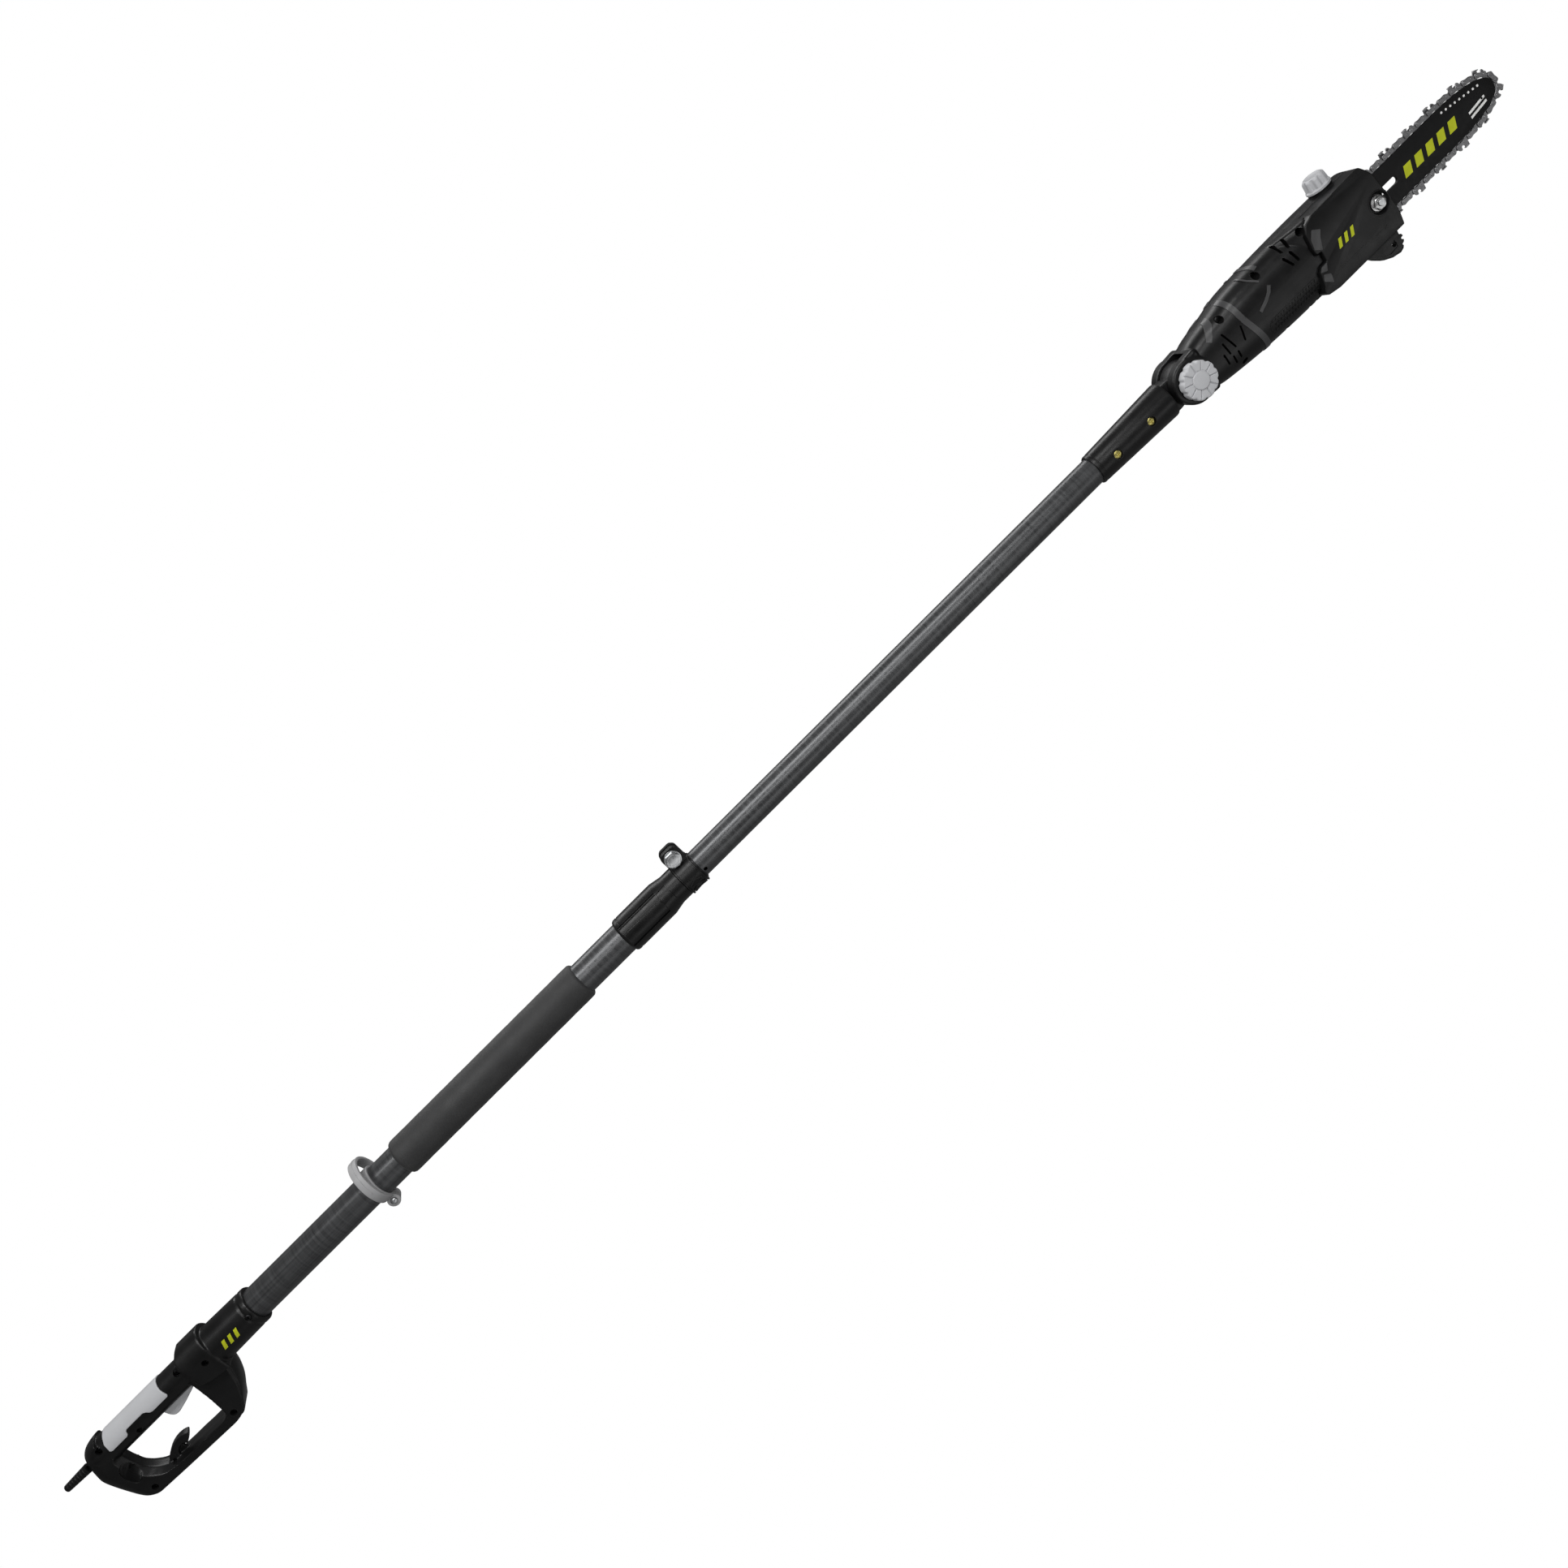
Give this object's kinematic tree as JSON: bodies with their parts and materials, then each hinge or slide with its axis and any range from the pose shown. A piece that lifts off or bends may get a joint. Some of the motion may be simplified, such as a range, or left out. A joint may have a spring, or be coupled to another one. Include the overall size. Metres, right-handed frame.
{
  "type": "telescoping pole saw",
  "caption": "Corded telescoping pole saw: loop handle with trigger, foam grip, sliding pole with clamp, and a tilting motor head with guide bar and chain.",
  "frame": {"origin": "on the pole's axis at half the saw's full length", "axes": "+X along the pole towards the saw head, +Z towards the oil cap with the handle loop at -Z, +Y away from the sprocket cover"},
  "size_m": [2.4653, 0.084, 0.1611],
  "materials": {
    "black_plastic": "satin moulded plastic",
    "grey_plastic": "satin moulded plastic",
    "inner_plastic": "plain moulded plastic",
    "foam": "matte closed-cell foam",
    "tube": "dark painted",
    "zinc": "zinc plated",
    "yellow_zinc": "yellow zinc plated",
    "steel": "ground",
    "black_steel": "black oxide",
    "bar_paint": "satin black paint",
    "windings": "laminations with varnished windings"
  },
  "bodies": {
    "handle": {"handle_shell_right": "black_plastic", "handle_shell_left": "black_plastic", "grip_insert": "grey_plastic", "handle_screw_1": "black_steel", "handle_screw_2": "black_steel", "handle_screw_3": "black_steel", "handle_screw_4": "black_steel", "handle_screw_5": "black_steel", "handle_screw_6": "black_steel", "tube_screw": "black_steel", "strain_relief": "black_plastic", "power_switch": "inner_plastic", "trigger_pin": "steel", "lower_tube": "tube", "foam_grip": "foam", "strap_ring": "grey_plastic", "strap_ring_screw": "zinc", "lock_sleeve": "black_plastic", "clamp_band": "black_plastic", "clamp_bolt": "zinc", "lever_pin": "steel"},
    "trigger": {"trigger": "grey_plastic"},
    "lock_off_button": {"lock_off_button": "grey_plastic"},
    "clamp_lever": {"clamp_lever": "black_plastic"},
    "upper_pole": {"upper_tube": "tube", "slide_bush": "inner_plastic", "head_bracket": "black_plastic", "bracket_screw_1": "yellow_zinc", "bracket_screw_2": "yellow_zinc"},
    "saw_head": {"motor_housing_right": "black_plastic", "motor_housing_left": "black_plastic", "housing_screw_1": "black_steel", "housing_screw_2": "black_steel", "housing_screw_3": "black_steel", "tilt_bolt": "zinc", "stator": "windings", "carbon_brush_1": "inner_plastic", "carbon_brush_2": "inner_plastic", "rear_bearing": "steel", "front_bearing": "steel", "output_bearing_right": "steel", "output_bearing_left": "steel", "bar_stud": "zinc", "sprocket_cover": "black_plastic", "bar_nut": "zinc", "branch_hook": "black_plastic", "oil_tank": "inner_plastic", "oil_pump": "inner_plastic"},
    "tilt_knob": {"tilt_knob": "grey_plastic"},
    "rotor": {"armature": "steel", "cooling_fan": "inner_plastic", "pinion": "steel"},
    "drive": {"output_shaft": "steel", "driven_gear": "steel", "drive_sprocket": "steel"},
    "bar_and_chain": {"guide_bar": "bar_paint", "saw_chain": "steel", "tension_pin": "steel"},
    "tension_screw": {"tension_screw": "zinc"},
    "oil_cap": {"oil_cap": "grey_plastic"}
  },
  "joints": [
    {"name": "pole_slide", "type": "slide", "parent": "handle", "child": "upper_pole", "axis": [1, 0, 0], "range_m": [-0.63, 0]},
    {"name": "head_tilt", "type": "hinge", "parent": "upper_pole", "child": "saw_head", "pos_m": [0.7, 0, 0], "axis": [0, 1, 0], "range_deg": [0, 30]},
    {"name": "tilt_knob_turn", "type": "hinge", "parent": "saw_head", "child": "tilt_knob", "pos_m": [0.7, -0.037, 0], "axis": [0, -1, 0], "range_deg": [0, 360]},
    {"name": "trigger_squeeze", "type": "hinge", "parent": "handle", "child": "trigger", "pos_m": [-1.034, 0, -0.01], "axis": [0, 1, 0], "range_deg": [0, 12], "stiffness_Nm_per_rad": 1, "springref_deg": -17.19},
    {"name": "lock_off_press", "type": "slide", "parent": "handle", "child": "lock_off_button", "axis": [0, -1, 0], "range_m": [0, 0.004], "stiffness_N_per_m": 500, "springref_m": -0.004},
    {"name": "clamp_lever_swing", "type": "hinge", "parent": "handle", "child": "clamp_lever", "pos_m": [-0.161, 0.017, 0.031], "axis": [1, 0, 0], "range_deg": [0, 110]},
    {"name": "oil_cap_turn", "type": "hinge", "parent": "saw_head", "child": "oil_cap", "pos_m": [0.9763, 0, 0.053], "axis": [0, 0, 1], "range_deg": [0, 360]},
    {"name": "motor_spin", "type": "hinge", "parent": "saw_head", "child": "rotor", "pos_m": [0.85, 0, 0], "axis": [1, 0, 0], "continuous": true},
    {"name": "drive_spin", "type": "hinge", "parent": "saw_head", "child": "drive", "pos_m": [0.945, 0, 0], "axis": [0, 1, 0], "continuous": true},
    {"name": "bar_slide", "type": "slide", "parent": "saw_head", "child": "bar_and_chain", "axis": [1, 0, 0], "range_m": [-0.002, 0]},
    {"name": "tension_screw_turn", "type": "hinge", "parent": "saw_head", "child": "tension_screw", "pos_m": [1, -0.009, -0.021], "axis": [1, 0, 0], "range_deg": [-901, 0]}
  ],
  "couplings": [
    {"joint": "drive_spin", "follows": "motor_spin", "ratio": 0.4},
    {"joint": "tension_screw_turn", "follows": "bar_slide", "rad_per_m": 7854}
  ]
}
